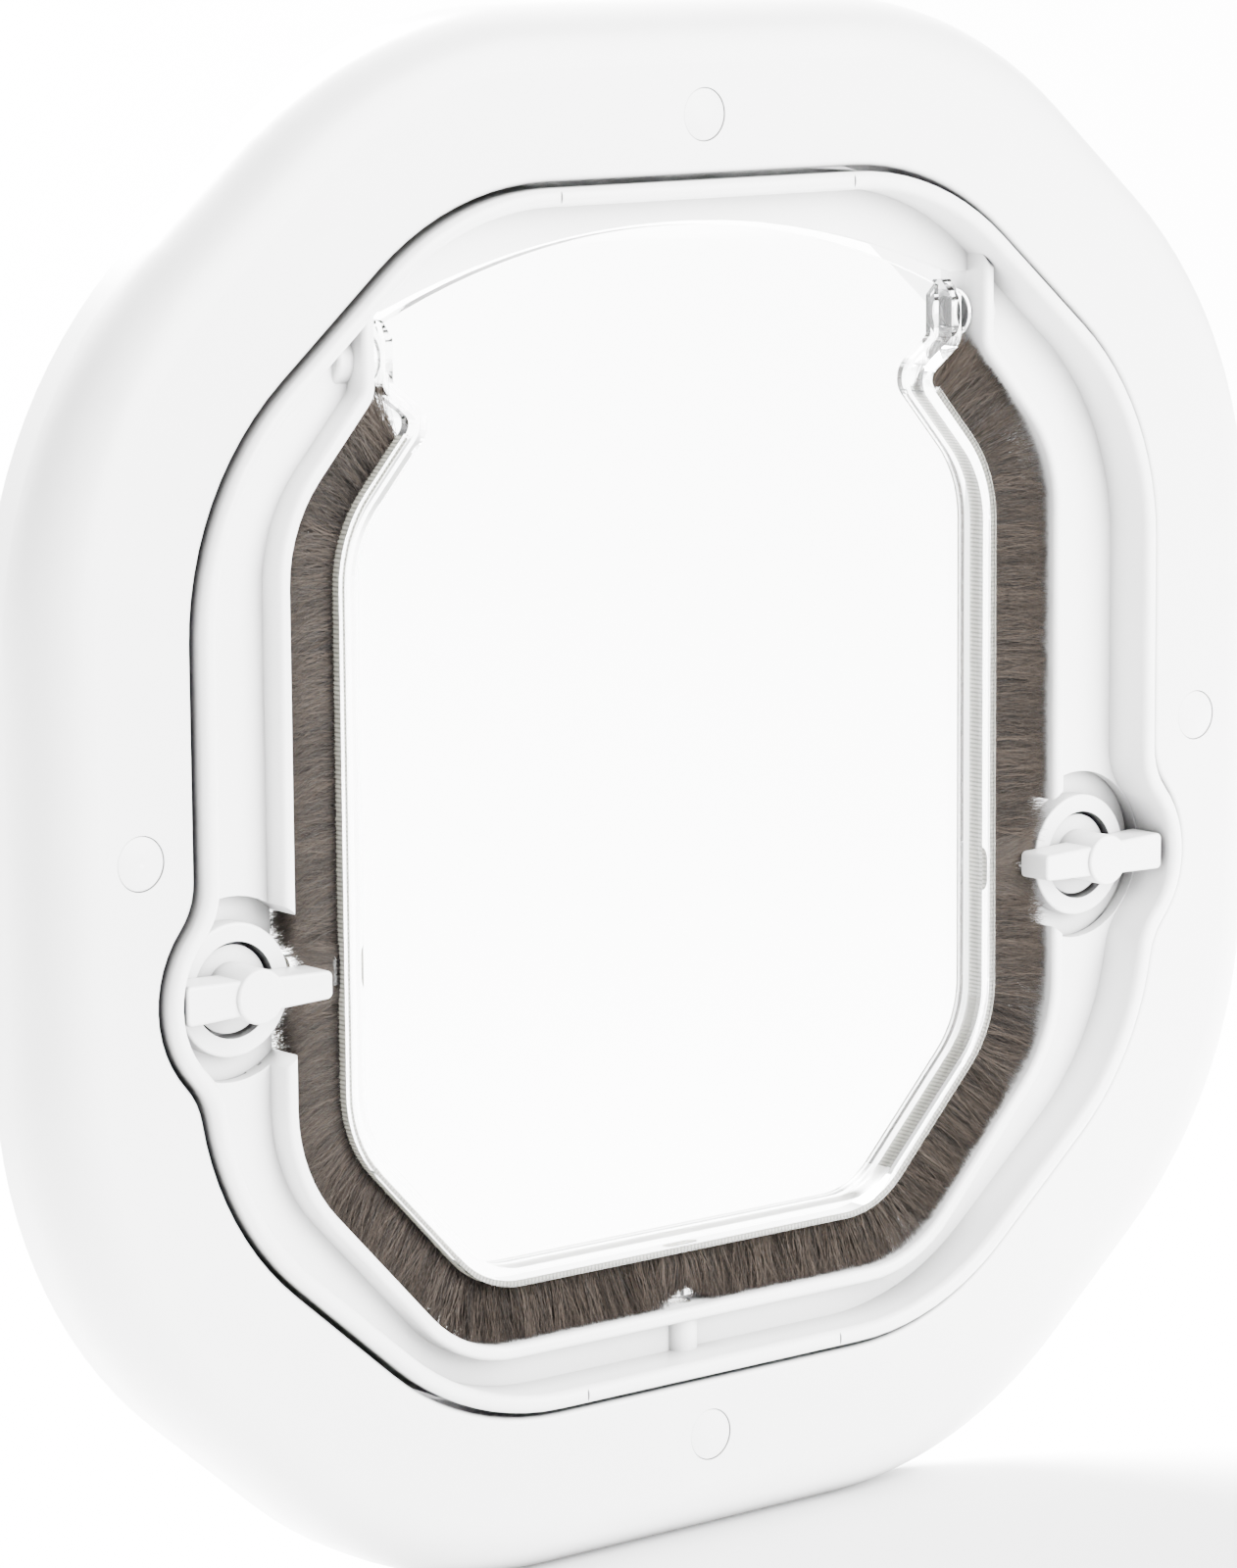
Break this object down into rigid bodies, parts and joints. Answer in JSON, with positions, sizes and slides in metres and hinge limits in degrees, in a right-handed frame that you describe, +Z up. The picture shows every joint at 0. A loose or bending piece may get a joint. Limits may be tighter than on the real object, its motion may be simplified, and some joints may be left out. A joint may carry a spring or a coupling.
{
  "type": "cat flap",
  "caption": "Cat flap for a round hole in glass: white ring and frame, clear swinging flap with a brush seal, and turning knobs that lock it.",
  "frame": {"origin": "middle of the round hole in the glass, on the inside face of the glass", "axes": "+X to the right as seen from inside, +Y out through the glass, +Z up"},
  "size_m": [0.317, 0.04, 0.31],
  "materials": {
    "white_plastic": "gloss",
    "clear_plastic": "clear gloss",
    "woven_backing": "woven",
    "pile": "brush pile",
    "steel": "zinc plated",
    "magnet": "nickel plated"
  },
  "bodies": {
    "frame": {"inside_ring": "white_plastic", "main_frame": "white_plastic", "top_cap": "white_plastic", "bottom_cap": "white_plastic", "left_cap": "white_plastic", "right_cap": "white_plastic", "clamp_screws": "steel", "sill_magnet": "magnet"},
    "swinging_flap": {"flap": "clear_plastic", "seal_backing": "woven_backing", "seal_pile": "pile", "flap_magnet": "magnet"},
    "left_lock": {"left_knob": "white_plastic", "left_washer": "steel", "left_knob_screw": "steel"},
    "right_lock": {"right_knob": "white_plastic", "right_washer": "steel", "right_knob_screw": "steel"}
  },
  "joints": [
    {"name": "flap_swing", "type": "hinge", "parent": "frame", "child": "swinging_flap", "pos_m": [0, -0.006, 0.0894], "axis": [1, 0, 0], "range_deg": [0, 80]},
    {"name": "left_knob_turn", "type": "hinge", "parent": "frame", "child": "left_lock", "pos_m": [-0.1108, 0, -0.0278], "axis": [0, -1, 0], "range_deg": [0, 90]},
    {"name": "right_knob_turn", "type": "hinge", "parent": "frame", "child": "right_lock", "pos_m": [0.1108, 0, -0.0278], "axis": [0, 1, 0], "range_deg": [0, 90]}
  ]
}
